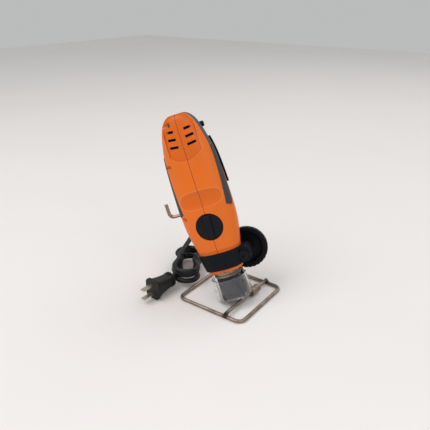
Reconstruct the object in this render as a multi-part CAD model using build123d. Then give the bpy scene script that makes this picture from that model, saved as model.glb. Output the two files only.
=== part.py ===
from build123d import *
import math
import os

# Barrel-grip jigsaw standing on its wire shoe, in millimetres.
#
# Row frame: the origin is the middle of the shoe's front rod, on the table. +Z is up,
# +Y runs along that rod, and -X points to the shoe's rear rod, the side the tool leans to.
# Tool frame: the origin is where the plunger's axis comes nearest the tilt bar, +Z runs up
# the barrel, -Y is the crowned face with the speed dial, and +X is the side with the knob.
# Hanger frame: the tool frame before the swivel, with the tilt bar at x = tilt_offset.

# ---- shoe and pose ----
shoe_width = 100.0
shoe_length = 98.0
shoe_front = 22.0
rod_radius = 2.2
shoe_corner = 9.0
weld_sink = 0.4
sole_depth = 0.25
lean = 22.2
swivel = 28.0
tilt_offset = 10.0
tool_y = -9.1

# ---- housing ----
barrel_length = 198.0
neck_bottom = 43.5
belly_half = 34.0
face_depth = 18.2
back_depth = 31.0
wall = 3.0
skin = 1.4
collar_bottom = 47.5
collar_height = 21.5
collar_wall = 2.4
cap_start = 197.0
cap_face = -7.0

# ---- drive ----
plunger_radius = 3.5
stroke = 16.0
fit = 0.05
free = 0.4
gear_height = 98.0
gear_radius = 20.0
gear_teeth = 48
pinion_teeth = 8
motor_y = 6.4
stator_radius = 20.0
stator_length = 36.0
armature_radius = 13.0
shaft_radius = 3.0
spigot_radius = 12.0

# ---- controls ----
dial_height = 103.2
dial_radius = 16.4
knob_radius = 27.0
knob_x = 28.0
knob_height = 56.5
knob_front = 22.6

# ---- cord ----
cord_radius = 3.4
gland_height = 216.0
gland_reach = 50.0
gland_seat = 2.8
lead_gap = 0.5

rod_height = rod_radius
bar_height = 3 * rod_radius - weld_sink - sole_depth
tip = math.radians(lean)
bar_at = Vector(-shoe_front, 0, bar_height)
tool_origin = bar_at + Vector(-tilt_offset * math.cos(tip), tool_y, -tilt_offset * math.sin(tip))
hanger_place = Pos(tool_origin) * Rot(0, -lean, 0)
tool_place = hanger_place * Rot(0, 0, swivel)
barrel_top = neck_bottom + barrel_length

# The barrel's stations: share of its length, of the belly's half width, of the face's
# depth and of the back's depth.
STATIONS = [
    (0.000, 0.650, 0.960, 0.560),
    (0.025, 0.668, 0.990, 0.575),
    (0.130, 0.785, 1.000, 0.630),
    (0.265, 0.950, 1.000, 0.830),
    (0.390, 1.000, 1.000, 0.970),
    (0.520, 0.990, 1.000, 1.000),
    (0.650, 0.960, 0.985, 1.000),
    (0.760, 0.905, 0.960, 0.950),
    (0.850, 0.800, 0.920, 0.860),
    (0.925, 0.670, 0.860, 0.770),
    (0.975, 0.500, 0.780, 0.630),
    (1.000, 0.270, 0.620, 0.440),
]
SQUARE_FACE = 0.66
SQUARE_BACK = 0.62


def station(z):
    """Half width, face depth and back depth of the barrel at height z."""
    share = min(max((z - neck_bottom) / barrel_length, 0.0), 1.0)
    for low, high in zip(STATIONS, STATIONS[1:]):
        if share <= high[0]:
            t = (share - low[0]) / (high[0] - low[0])
            size = [a + (b - a) * t for a, b in zip(low, high)]
            return size[1] * belly_half, size[2] * face_depth, size[3] * back_depth
    return belly_half, face_depth, back_depth


def flank(z, y):
    """Half width of the barrel at height z and depth y, from the outline's own curve."""
    half, face, back = station(z)
    deep = face if y < 0 else back
    k = SQUARE_FACE if y < 0 else SQUARE_BACK
    want = abs(y) / deep
    low, high = 0.0, 1.0
    for _ in range(30):
        t = (low + high) / 2
        reach = (1 - t) ** 3 + 3 * (1 - t) ** 2 * t + 3 * (1 - t) * t ** 2 * k
        if reach > want:
            low = t
        else:
            high = t
    return half * (3 * (1 - t) ** 2 * t * k + 3 * (1 - t) * t ** 2 + t ** 3)


def ring_face(half, face, back, z):
    """One closed outline of the barrel: two crowned quarters in front, two behind."""
    kf = SQUARE_FACE
    kb = SQUARE_BACK
    front = (0, -face, z)
    right = (half, 0, z)
    rear = (0, back, z)
    left = (-half, 0, z)
    edges = [
        Edge.make_bezier(front, (kf * half, -face, z), (half, -kf * face, z), right),
        Edge.make_bezier(right, (half, kb * back, z), (kb * half, back, z), rear),
        Edge.make_bezier(rear, (-kb * half, back, z), (-half, kb * back, z), left),
        Edge.make_bezier(left, (-half, -kf * face, z), (-kf * half, -face, z), front),
    ]
    return Face(Wire(edges))


def barrel(inset=0.0, top_drop=0.0):
    """The barrel's solid, grown or shrunk by inset all round, its top lowered by top_drop."""
    faces = []
    for share, width, face, back in STATIONS:
        z = neck_bottom + share * (barrel_length - top_drop)
        faces.append(ring_face(width * belly_half - inset, face * face_depth - inset,
                               back * back_depth - inset, z))
    return loft(faces)


def cylinder_z(radius, z0, z1, x=0.0, y=0.0):
    return Pos(x, y, (z0 + z1) / 2) * Cylinder(radius, z1 - z0)


def cylinder_y(radius, y0, y1, x=0.0, z=0.0):
    return Pos(x, (y0 + y1) / 2, z) * Rot(90, 0, 0) * Cylinder(radius, y1 - y0)


def cylinder_x(radius, x0, x1, y=0.0, z=0.0):
    return Pos((x0 + x1) / 2, y, z) * Rot(0, 90, 0) * Cylinder(radius, x1 - x0)


def block(x0, x1, y0, y1, z0, z1):
    return Pos((x0 + x1) / 2, (y0 + y1) / 2, (z0 + z1) / 2) * Box(x1 - x0, y1 - y0, z1 - z0)


def prism_y(outline, y0, y1):
    """An outline of (x, z) corners, taken from y0 to y1."""
    face = Plane(origin=(0, y1, 0), x_dir=(1, 0, 0), z_dir=(0, -1, 0)) * outline
    return extrude(face, amount=y1 - y0)


def tube(outer, inner, z0, z1, x=0.0, y=0.0):
    return cylinder_z(outer, z0, z1, x, y) - cylinder_z(inner, z0 - 1, z1 + 1, x, y)


outer = barrel()
inner = barrel(wall, wall)
layer = barrel(skin, skin)

# ---- layout of what sits inside, all from the driving sizes ----
bottom_wall = 3.5
flange_low = neck_bottom + bottom_wall
upper_bush_low = 44.0
upper_bush_high = 54.0
crank_radius = stroke / 2
yoke_back = -7.0
yoke_thick = 2.5
yoke_front = yoke_back - yoke_thick
gear_front = motor_y - 9.9
gear_back = motor_y - 4.1
tooth_top = motor_y - 2.6
bridge_low = gear_height + gear_radius + 4.0
bridge_thick = 5.0
bridge_high = bridge_low + bridge_thick
fan_low = bridge_high + 1.5
fan_high = fan_low + 7.0
stator_low = fan_high + 3.5
stator_high = stator_low + stator_length
commutator_low = stator_high + 4.0
commutator_high = commutator_low + 10.0
brush_z = (commutator_low + commutator_high) / 2
rear_bearing_low = commutator_high + 2.0
rear_bearing_high = rear_bearing_low + 5.0
commutator_radius = 8.0
bearing_radius = 8.0
paddle_low = 146.0
paddle_high = 206.0
paddle_pin_z = paddle_low + 3.0
paddle_gap = 2.4
paddle_thick = 2.6
rod_z = 190.0
lock_y = 10.0
lock_z = 222.0
lock_radius = 3.4
screw_spots = [(13.5, neck_bottom + 19.0), (-11.0, bridge_low - 3.8), (20.5, 108.0), (-11.0, 184.0),
               (-10.6, 231.5)]
boss_radius = 3.6
screw_radius = 1.6
head_sink = 7.0
ear_in = 7.2
pin_rise = 0.4
pin_radius = 1.2


def inlay_zone(side):
    """The long band that each soft strip fills: narrow below, wide where it meets the cap."""
    points = [(-12.5, 124.0), (-6.5, 121.0), (-3.5, 126.0), (4.5, cap_start - 0.2), (cap_face, cap_start - 0.2)]
    outline = make_face(Polyline(*[(y, z) for y, z in points], close=True))
    face = Plane.YZ * outline
    reach = side * (belly_half + 6)
    return extrude(face, amount=reach)


def vent_recess():
    """The shallow round-bottomed field at the top of the face that the vents open into."""
    low = 186.0
    half = 20.0
    top = barrel_top + 10
    with BuildSketch() as field:
        with BuildLine():
            Polyline((-half, low + 9), (-half, top), (half, top), (half, low + 9))
            ThreePointArc((-half, low + 9), (0, low), (half, low + 9))
        make_face()
    return prism_y(field.sketch, -face_depth - 8, cap_face - 1.5)


def scoop():
    """The smile-shaped thumb dip under the panel: a ring's tube that fades out at its ends."""
    tube_radius = 26.0
    depth = 2.0
    fade_radius = 122.0
    centre_z = 138.5
    deepest = -face_depth + depth
    profile = Plane.YZ * (Pos(deepest - tube_radius, centre_z) * Circle(tube_radius))
    return revolve(profile, Axis((0, deepest + fade_radius, 0), (0, 0, 1)), 360)


def vent_slots():
    slots = []
    for row in range(3):
        z = 205.0 + 9.2 * row
        for side in (-1, 1):
            length = 11.0 - 1.0 * row
            x = side * 11.0
            slot = Pos(x, -face_depth, z) * Rot(0, -side * 6, 0) * Box(length, 16, 3.0)
            slots.append(slot)
    return slots


def housing():
    """Both half shells as one body, before they are parted on the plane x = 0."""
    body = outer - inner
    floor = (outer & block(-60, 60, -60, 60, neck_bottom, flange_low)) \
        - cylinder_z(spigot_radius + 0.3, 0, 90)
    body = body + floor
    cup = outer & cylinder_y(dial_radius + 3.0, -face_depth - 5, -face_depth + 6.2, 0, dial_height)
    body = body + cup
    for y, z in screw_spots:
        span = outer & cylinder_x(boss_radius, -60, 60, y, z)
        body = body + span
    body = body - cylinder_y(dial_radius + 0.5, -60, -face_depth + 4.0, 0, dial_height)
    body = body - cylinder_y(3.3, -60, 0, 0, dial_height)
    body = body - (vent_recess() - layer)
    body = body - scoop()
    for slot in vent_slots():
        body = body - slot
    for side in (-1, 1):
        body = body - (inlay_zone(side) - layer)
    cap_zone = block(-60, 60, cap_face, 60, cap_start, barrel_top + 5)
    body = body - cap_zone
    body = body - cylinder_y(2.7, back_depth - 8, 60, 0, rod_z)
    lug_space = block(-ear_in - 3.5, ear_in + 3.5, back_depth - 9, 60, paddle_pin_z - 4, paddle_pin_z + 4)
    body = body - (lug_space - barrel(skin + 0.6, skin))
    for y, z in screw_spots:
        side = flank(z, y)
        body = body - cylinder_x(screw_radius + 0.1, -60, side - 7.0, y, z)
        body = body - cylinder_x(boss_radius - 0.5, -60, head_sink - side, y, z)
    body = body - neck_groove()
    return body + paddle_ears()


def paddle_ears():
    """Two ears on the back that hold the paddle's pin."""
    y = back_at(paddle_pin_z)
    ears = block(ear_in, ear_in + 3.0, y - 2.0, y + pin_rise + 2.0, paddle_pin_z - 2.6, paddle_pin_z + 2.6)
    ears = ears + mirror(ears, Plane.YZ)
    ears = ears & barrel(-1.6)
    return ears - cylinder_x(pin_radius + fit, -20, 20, y + pin_rise, paddle_pin_z)


def neck_groove():
    """The step between the collar and the belly: a shallow bead groove round the neck."""
    z = collar_bottom + collar_height + 3.0
    half, face, back = station(z)
    ring = ring_face(half + 4, face + 4, back + 4, z - 0.8)
    core = ring_face(half - 0.9, face - 0.9, back - 0.9, z - 0.8)
    return extrude(ring, amount=1.6, dir=(0, 0, 1)) - extrude(core, amount=1.6, dir=(0, 0, 1))


def rear_cap():
    shell = outer - inner
    cap = shell & block(-60, 60, cap_face, 60, cap_start, barrel_top + 5)
    seat = back_at(gland_height)
    cap = cap + cylinder_y(8.5, seat - 10, seat + gland_seat, 0, gland_height)
    cap = cap - cylinder_y(4.6, 0, 60, 0, gland_height)
    cap = cap - cylinder_x(lock_radius + 0.3, 0, 60, lock_y, lock_z)
    return cap


def inlay(side):
    """Soft grip strip, standing a little proud of its groove."""
    grown = barrel(-0.5, -0.5)
    strip = (grown - layer) & inlay_zone(side)
    return strip


def collar():
    """Clamp band round the neck, with the knob's lug and boss on one side."""
    low = collar_bottom
    high = low + collar_height
    faces = []
    bores = []
    for z in (low, (low + high) / 2, high):
        half, face, back = station(z)
        faces.append(ring_face(half + collar_wall, face + collar_wall, back + collar_wall, z))
    band = loft(faces)
    grown = barrel(-0.02, 0)
    lug = block(station(low)[0] - 4, knob_x + 8.5, -10.5, 9.0, low + 0.5, high - 0.5)
    lug = fillet(lug.edges().filter_by(Axis.Y).group_by(Axis.X)[-1], 6.0)
    band = band + lug
    band = band + cylinder_y(7.0, -12.5, 0, knob_x + 1.0, knob_height)
    band = band + cylinder_y(8.8, 0, knob_front - 2 * fit, knob_x, knob_height)
    band = band - grown
    band = band - block(-1.2, 1.2, 5, 60, low - 1, high + 1)
    band = band - cylinder_y(3.1, -60, 60, knob_x, knob_height)
    band = band - cylinder_y(5.6, -60, -9.0, knob_x, knob_height)
    return band - cylinder_y(set_screw_radius + 0.02, -60, 0, set_screw_x, knob_height - 1.5)


set_screw_x = 8.5
set_screw_radius = 2.6


def collar_screw():
    """Socket set screw that locks the band on the neck."""
    z = knob_height - 1.5
    face = station(z)[1]
    screw = cylinder_y(set_screw_radius, -face - 1.6, -face + 0.4, set_screw_x, z)
    hexagon = Plane(origin=(set_screw_x, -face - 1.7, z), x_dir=(1, 0, 0), z_dir=(0, 1, 0))
    screw = screw - extrude(hexagon * RegularPolygon(1.5, 6), amount=1.3)
    return screw - barrel(-0.02, 0)


def side_knob():
    """Round palm knob: a hollow domed cap whose ribbed underside faces the front."""
    depth = 17.0
    rim = 4.0
    r = knob_radius
    with BuildSketch(Plane.XY) as half:
        with BuildLine():
            Line((0, 0), (r, 0))
            Line((r, 0), (r, rim))
            Bezier((r, rim), (r, depth * 0.8), (r * 0.55, depth), (0, depth))
            Line((0, depth), (0, 0))
        make_face()
    dome = revolve(half.sketch, Axis.Y, 360)
    with BuildSketch(Plane.XY) as dish:
        with BuildLine():
            Polyline((9.0, -1), (r - 3.2, -1), (r - 3.6, 1.6), (r - 6.2, 1.9), (r - 7.0, 5.5))
            Bezier((r - 7.0, 5.5), (r * 0.6, 7.5), (9.0, 7.5))
            Line((9.0, 7.5), (9.0, -1))
        make_face()
    dome = dome - revolve(dish.sketch, Axis.Y, 360)
    for n in range(28):
        turn = 360 / 28 * n
        notch = Rot(0, turn, 0) * Pos(r + 0.9, rim, 0) * Rot(90, 0, 0) * Cylinder(1.5, 2 * rim + 6)
        dome = dome - notch
    dome = dome - cylinder_y(3.1, -1, depth - 5.0)
    dome = Pos(knob_x, knob_front, knob_height) * dome
    return dome


def knob_bolt():
    shank = cylinder_y(3.0, -9.0, knob_front + 11.5, knob_x, knob_height)
    head = cylinder_y(5.4, -12.2, -9.0, knob_x, knob_height)
    hexagon = Plane(origin=(knob_x, -12.3, knob_height), x_dir=(1, 0, 0), z_dir=(0, 1, 0))
    socket = extrude(hexagon * RegularPolygon(2.8, 6), amount=2.0)
    return shank + head - socket


nose_low = 6.5
nose_high = 36.0
nose_half = 14.0
nose_deep = 13.0


def head_block():
    """Cast gear head: a square nose, a round spigot up the neck and a flange inside."""
    box = block(-nose_half, nose_half, -nose_deep, nose_deep, nose_low, nose_high)
    box = fillet(box.edges().filter_by(Axis.Z), 5.5)
    box = chamfer(box.faces().sort_by(Axis.Z)[-1].edges(), 1.0)
    head = box + cylinder_z(spigot_radius, nose_high - 1, flange_low)
    head = head + cylinder_z(spigot_radius + 2.2, flange_low, upper_bush_high)
    head = head - block(-9.5, 9.5, -8.0, 8.0, nose_low - 1, 20.0)
    head = head - cylinder_z(6.0, 18, 34)
    head = head - cylinder_z(plunger_radius + 1.0, 30, 60)
    head = head - cylinder_z(6.0, upper_bush_low, 60)
    for x in (-1, 1):
        for z in (14.0, 29.5):
            head = head - cylinder_y(1.9, -20, -nose_deep + 5, x * 9.6, z)
            head = head - cylinder_y(3.2, -20, -nose_deep + 1.6, x * 9.6, z)
    window = Pos(0, -nose_deep, 21.5) * Box(11, 1.2, 20)
    return head - window


def head_screws():
    group = []
    for x in (-1, 1):
        for z in (14.0, 29.5):
            screw = cylinder_y(1.8, -nose_deep + 1.5, -nose_deep + 4.8, x * 9.6, z)
            screw = screw + cylinder_y(3.0, -nose_deep - 0.3, -nose_deep + 1.6, x * 9.6, z)
            cross = block(-2.0, 2.0, -nose_deep - 1, -nose_deep + 0.6, -0.35, 0.35)
            cross = cross + block(-0.35, 0.35, -nose_deep - 1, -nose_deep + 0.6, -2.0, 2.0)
            group.append(screw - Pos(x * 9.6, 0, z) * cross)
    return Compound(group)


def bite_comb():
    """Toothed anti-splinter strip under the nose's front edge."""
    bar = block(-11.0, 12.5, -nose_deep + 0.2, -nose_deep + 2.4, 5.0, nose_low)
    teeth = []
    pitch = 3.9
    for n in range(6):
        x = -10.9 + pitch * n
        tri = make_face(Polyline((x, 5.2), (x + pitch - 0.1, 5.2), (x + pitch / 2, 2.9), close=True))
        teeth.append(prism_y(tri, -nose_deep + 0.2, -nose_deep + 2.4))
    for tooth in teeth:
        bar = bar + tooth
    return bar


guard_inner = 20.6
guard_wall = 1.6


def chip_guard():
    """Clear guard round the front of the nose, clipped to the gear head."""
    low = 7.2
    high = 34.0
    ring = tube(guard_inner + guard_wall, guard_inner, low, high)
    keep = block(-40, 40, -40, 4.0, low, high)
    ring = ring & keep
    arms = block(-guard_inner - 0.3, -nose_half, -1.0, 3.0, 24.0, 30.0)
    arms = arms + block(nose_half, guard_inner + 0.3, -1.0, 3.0, 24.0, 30.0)
    return ring + arms


ring_low = nose_high + 0.5
ring_high = neck_bottom - 0.5
leg_in = 17.2
leg_out = 20.2
eye_radius = 5.2
eye_length = 17.0


def hanger():
    """Stamped bracket, in the hanger frame: a ring round the spigot, a leg and a hinge eye."""
    ring = tube(leg_in, spigot_radius + fit, ring_low, ring_high)
    groove = tube(leg_in + 1, leg_in - 1.2, (ring_low + ring_high) / 2 - 0.9,
                  (ring_low + ring_high) / 2 + 0.9)
    ring = ring - groove
    arm = block(-7, 7, 14.0, leg_out, ring_low, ring_high)
    corners = [(-7, ring_high), (7, ring_high), (tilt_offset + eye_radius, 0),
               (tilt_offset - eye_radius, 0), (-7, ring_low - 6)]
    leg = prism_y(make_face(Polyline(*corners, close=True)), leg_in, leg_out)
    eye = cylinder_y(eye_radius, leg_in, leg_in + eye_length, tilt_offset, 0)
    whole = ring + arm + leg + eye
    whole = whole - cylinder_z(spigot_radius + fit, ring_low - 2, ring_high + 2)
    return whole - cylinder_y(rod_radius + fit, 0, 60, tilt_offset, 0)


def plunger():
    rod = cylinder_z(plunger_radius, 14.0, 77.0)
    return rod


clamp_low = 4.6


def blade_clamp():
    """Round blade holder with a slot for the shank; the plunger's end is pressed in."""
    body = cylinder_z(5.2, clamp_low, 17.5)
    body = body - cylinder_z(plunger_radius, 14.0, 20)
    body = body - block(-3.6, 3.6, -0.9, 0.9, clamp_low - 1, 13.0)
    return body - cylinder_y(1.5, -8, 0, 0, 9.0)


def clamp_screw():
    screw = cylinder_y(1.45, -5.6, -0.95, 0, 9.0) + cylinder_y(2.5, -7.0, -5.0, 0, 9.0)
    hexagon = Plane(origin=(0, -7.1, 9.0), x_dir=(1, 0, 0), z_dir=(0, 1, 0))
    screw = screw - cylinder_z(5.2, clamp_low, 17.5) + cylinder_y(1.45, -5.6, -0.95, 0, 9.0)
    return screw - extrude(hexagon * RegularPolygon(1.4, 6), amount=1.2)


def bush(z0, z1):
    return tube(6.0, plunger_radius + fit, z0, z1)


def yoke():
    """Scotch yoke: a slotted plate in front of the gear, on a foot pressed on the plunger."""
    centre = gear_height + crank_radius
    plate = block(-15, 15, yoke_front, yoke_back, centre - 8.0, centre + 8.0)
    plate = plate + block(-6, 6, yoke_front, yoke_back, 71.0, centre - 5)
    foot = block(-6, 6, yoke_front, 4.6, 71.0, 77.0)
    whole = plate + foot
    slot = block(-crank_radius - 3.4, crank_radius + 3.4, -20, 0, centre - 3.4, centre + 3.4)
    return whole - slot - cylinder_z(plunger_radius, 60, 90)


def drive_gear():
    """Face gear: its teeth point back at the pinion, its crank pin points at the yoke."""
    disc = cylinder_y(gear_radius, gear_front, gear_back, 0, gear_height)
    root = gear_back
    teeth = []
    step = 360 / gear_teeth
    for n in range(gear_teeth):
        tooth = Rot(0, step * (n + 0.5), 0) * block(gear_radius - 4.2, gear_radius - 0.1, root - 0.3,
                                                   tooth_top, -0.4, 0.4)
        teeth.append(tooth)
    gear = disc + [Pos(0, 0, gear_height) * tooth for tooth in teeth]
    hub = cylinder_y(6.0, gear_front - 0.8, gear_front, 0, gear_height)
    pin = cylinder_y(3.0, yoke_back + 0.3, gear_front + 1, 0, gear_height + crank_radius)
    gear = gear + hub + pin
    for turn in (60, 120, 180, 240, 300):
        hole = Rot(0, turn, 0) * cylinder_y(2.6, gear_front - 1, gear_back + 1, 0, 11.0)
        gear = gear - Pos(0, 0, gear_height) * hole
    return gear - cylinder_y(2.5 + fit, -40, 40, 0, gear_height)


def gear_axle():
    """Fixed axle, with the stem that carries it standing in the bridge plate."""
    axle = cylinder_y(2.5, gear_front - 2.2, motor_y + 4, 0, gear_height)
    axle = axle + cylinder_y(3.6, gear_front - 2.6, gear_front - 1.2, 0, gear_height)
    stem = block(-4.0, 4.0, motor_y - 1.0, motor_y + 6, gear_height - 4, gear_height + 9)
    stem = stem + block(-4.0, 4.0, motor_y + 4.6, motor_y + 8.6, gear_height, bridge_low)
    return axle + stem


def bridge():
    plate = cylinder_z(stator_radius - 1.6, bridge_low, bridge_high, 0, motor_y)
    return plate - cylinder_z(bearing_radius, bridge_low - 1, bridge_high + 1, 0, motor_y)


def bearing(z0, z1):
    """Ball bearing: two races with the balls between them, standing on one shared plate."""
    outer_race = tube(bearing_radius, bearing_radius - 1.6, z0, z1, 0, motor_y)
    inner_race = tube(shaft_radius + 1.5, shaft_radius + fit, z0, z1, 0, motor_y)
    middle = (z0 + z1) / 2
    cage = tube(bearing_radius - 1.5, shaft_radius + 1.4, middle - 1.2, middle + 1.2, 0, motor_y)
    return outer_race + inner_race + cage


def armature_shaft():
    """Motor shaft with its pinion cut on the lower end."""
    low = gear_height + gear_radius - 4.8
    shaft = cylinder_z(shaft_radius, low + 5.4, rear_bearing_high + 1.0, 0, motor_y)
    pinion = cylinder_z(2.2, low, low + 6, 0, motor_y)
    step = 360 / pinion_teeth
    for n in range(pinion_teeth):
        tooth = Rot(0, 0, step * n) * block(-0.36, 0.36, -3.6, 0, low, low + 5.0)
        pinion = pinion + Pos(0, motor_y, 0) * tooth
    return shaft + pinion


def armature_core():
    core = tube(armature_radius, shaft_radius, stator_low + 1, stator_high - 1, 0, motor_y)
    for n in range(12):
        slot = Rot(0, 0, 30 * n) * block(armature_radius - 5, armature_radius + 1, -0.8, 0.8,
                                         stator_low, stator_high)
        core = core - Pos(0, motor_y, 0) * slot
    return core


def commutator():
    ring = tube(commutator_radius, shaft_radius, commutator_low, commutator_high, 0, motor_y)
    for n in range(12):
        slot = Rot(0, 0, 30 * n + 15) * block(commutator_radius - 0.8, commutator_radius + 1, -0.25, 0.25,
                                              commutator_low - 1, commutator_high + 1)
        ring = ring - Pos(0, motor_y, 0) * slot
    return ring


def fan():
    radius = stator_radius - 4.0
    disc = tube(radius, shaft_radius, fan_low, fan_low + 1.4, 0, motor_y)
    hub = tube(6.0, shaft_radius, fan_low, fan_high, 0, motor_y)
    wheel = disc + hub
    for n in range(12):
        blade = Rot(0, 0, 30 * n) * Pos(6.5, 0, 0) * Rot(0, 0, 25)
        blade = blade * block(0, radius - 7.2, -0.6, 0.6, fan_low + 1, fan_high)
        wheel = wheel + Pos(0, motor_y, 0) * blade
    return wheel


def stator():
    """Laminated field core: a ring with two pole shoes."""
    ring = tube(stator_radius, stator_radius - 4.0, stator_low, stator_high, 0, motor_y)
    pole = block(-8.5, 8.5, -stator_radius + 1.5, stator_radius - 1.5, stator_low, stator_high)
    pole = Pos(0, motor_y, 0) * pole
    bore = cylinder_z(armature_radius + 0.5, 0, 300, 0, motor_y)
    return ring + pole - bore


def field_coils():
    """One winding each side, between the pole shoes and clear of the armature."""
    group = []
    for side in (-1, 1):
        coil = tube(stator_radius - 4.2, armature_radius + 0.8, stator_low - 2.5, stator_high + 2.5, 0, motor_y)
        keep = Pos(side * 17.0, motor_y, (stator_low + stator_high) / 2) * Box(16.0, 17.0, 80)
        group.append(coil & keep)
    return Compound(group)


def brush_gear():
    holders = []
    brushes = []
    springs = []
    for side in (-1, 1):
        turn = Pos(0, motor_y, brush_z) * Rot(0, 0, 0 if side == 1 else 180)
        shell = block(commutator_radius + 1.2, 23.0, -3.6, 3.6, -4.4, 4.4)
        shell = shell - block(0, 21.6, -2.6, 2.6, -3.4, 3.4)
        holders.append(turn * shell)
        brushes.append(turn * block(commutator_radius + 0.15, 16.0, -2.4, 2.4, -3.2, 3.2))
        spring = Rot(0, 90, 0) * (Cylinder(2.0, 5.2) - Cylinder(1.3, 6.2))
        springs.append(turn * Pos(18.8, 0, 0) * spring)
    return Compound(holders), Compound(brushes), Compound(springs)


def speed_dial():
    """Dial with a raised finger ridge that widens upwards, on a short spindle."""
    face_y = -face_depth + 1.2
    disc = cylinder_y(dial_radius, face_y, face_y + 2.4, 0, dial_height)
    disc = chamfer(disc.edges().group_by(Axis.Y)[0], 0.6)
    ridge = make_face(Polyline((-3.0, -dial_radius + 2), (3.0, -dial_radius + 2),
                               (4.6, dial_radius - 2.2), (-4.6, dial_radius - 2.2), close=True))
    ridge = prism_y(Pos(0, dial_height) * ridge, face_y - 2.2, face_y + 1)
    ridge = fillet(ridge.edges().group_by(Axis.Y)[0], 1.2)
    spindle = cylinder_y(3.0, face_y + 2, yoke_front - 0.8, 0, dial_height)
    return disc + ridge + spindle


def dial_module():
    body = cylinder_y(7.5, -face_depth + 6.4, yoke_front - 0.6, 0, dial_height)
    return body - cylinder_y(3.15, -40, 0, 0, dial_height)


def paddle_ring(z, extra):
    half, face, back = station(z)
    return ring_face(half + extra * 0.75, face + extra, back + extra, z)


def paddle():
    """Wide switch paddle curved round the barrel's back, hinged at its lower end."""
    steps = [paddle_low + (paddle_high - paddle_low) * n / 4 for n in range(5)]
    shell = loft([paddle_ring(z, paddle_gap + paddle_thick) for z in steps])
    shell = shell - loft([paddle_ring(z, paddle_gap) for z in steps])
    keep = block(-60, 60, 17.5, 80, paddle_low, paddle_high)
    shell = shell & keep
    lug = block(-6.5, 6.5, back_at(paddle_pin_z) - 1.0, back_at(paddle_pin_z) + paddle_gap + 0.8,
                paddle_pin_z - 2.4, paddle_pin_z + 2.4)
    rod = cylinder_y(2.0, back_at(rod_z) - 6.0, back_at(rod_z) + paddle_gap + 1.0, 0, rod_z)
    whole = shell + lug + rod
    return whole - cylinder_x(pin_radius + fit, -20, 20, back_at(paddle_pin_z) + pin_rise, paddle_pin_z)


def paddle_pin():
    return cylinder_x(pin_radius, -ear_in - 3.0, ear_in + 3.0, back_at(paddle_pin_z) + pin_rise, paddle_pin_z)


def back_at(z):
    return station(z)[2]


def switch_module():
    """Snap switch behind the paddle's push rod."""
    front = back_at(rod_z) - 6.0 - 2.6
    return block(-7.5, 7.5, front - 5.5, front, rod_z - 5.0, rod_z + 10.0)


def lock_button():
    half = station(lock_z)[0]
    stem = cylinder_x(lock_radius, half - 8.0, half + 2.6, lock_y, lock_z)
    stem = chamfer(stem.edges().group_by(Axis.X)[-1], 0.7)
    return stem


def housing_screws():
    group = []
    for y, z in screw_spots:
        seat = head_sink - flank(z, y)
        shank = cylinder_x(screw_radius, seat, flank(z, y) - 7.5, y, z)
        head = cylinder_x(boss_radius - 0.8, seat - 2.0, seat, y, z)
        cross = block(seat - 5, seat - 1.1, y - 1.8, y + 1.8, z - 0.35, z + 0.35)
        cross = cross + block(seat - 5, seat - 1.1, y - 0.35, y + 0.35, z - 1.8, z + 1.8)
        group.append(shank + head - cross)
    return Compound(group)


key_z = 124.0
key_y = 0.0
key_radius = 2.2
key_reach = 48.0


def hex_key():
    """Blade key pushed into its sleeve across the left flank, its short leg turned up."""
    inside = -belly_half + 14.0
    profile = RegularPolygon(key_radius, 6)
    path = FilletPolyline((inside, key_y, key_z), (-key_reach, key_y, key_z),
                          (-key_reach, key_y, key_z + 17.5), radius=5.5)
    start = Plane(origin=(inside, key_y, key_z), x_dir=(0, 1, 0), z_dir=(-1, 0, 0))
    return sweep(start * profile, path)


def key_clip():
    """Sleeve for the key, standing inside the left shell."""
    sleeve = cylinder_x(key_radius + 1.6, -belly_half + wall - 0.5, -belly_half + 13.0, key_y, key_z)
    return sleeve


def gland():
    """Ribbed strain relief: a flange inside the cap, then a taper with rings."""
    seat = back_at(gland_height) + gland_seat
    back_of_boss = back_at(gland_height) - 10.0
    flange = cylinder_y(6.2, back_of_boss - 3.0, back_of_boss, 0, gland_height)
    stem = cylinder_y(4.5, back_of_boss, seat + 1, 0, gland_height)
    length = gland_reach - seat
    cone = Cone(5.6, 4.2, length)
    cone = Pos(0, seat + length / 2, gland_height) * Rot(-90, 0, 0) * cone
    whole = flange + stem + cone
    for n in range(5):
        y = seat + 4.0 + 4.0 * n
        ring = cylinder_y(7, y, y + 1.6, 0, gland_height) - cylinder_y(4.1, y, y + 1.6, 0, gland_height)
        whole = whole - ring
    return whole - cylinder_y(cord_radius, seat - 20, gland_reach - 2.0, 0, gland_height)


# ---- shoe ----
def shoe_loop():
    """Closed rectangle of bent rod, with flats on its underside where it slides."""
    inner_x = shoe_length - 2 * rod_radius
    inner_y = shoe_width - 2 * rod_radius
    centre = Pos(-shoe_length / 2 + rod_radius, 0, rod_height)
    outline = RectangleRounded(inner_x, inner_y, shoe_corner)
    wire = outline.wires()[0]
    start = Plane(origin=wire @ 0, z_dir=wire % 0)
    loop = centre * sweep(start * Circle(rod_radius), wire)
    floor = block(-200, 200, -200, 200, -5, sole_depth)
    return Pos(0, 0, -sole_depth) * (loop - floor)


def shoe_bar():
    length = shoe_width - 2 * rod_radius + 1.0
    return cylinder_y(rod_radius, -length / 2, length / 2, bar_at.X, bar_at.Z)


# ---- cord, in the row frame ----
exit_at = tool_place * Pos(0, gland_reach + lead_gap, gland_height)
exit_point = exit_at.position
exit_way = (tool_place * Pos(0, gland_reach + lead_gap + 1, gland_height)).position - exit_point
hank_centre = Vector(-127.4, 13.0, 0)
hank_half = 47.0
hank_side = 20.0
hank_height = 29.0
hank_turn = 122.0


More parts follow.
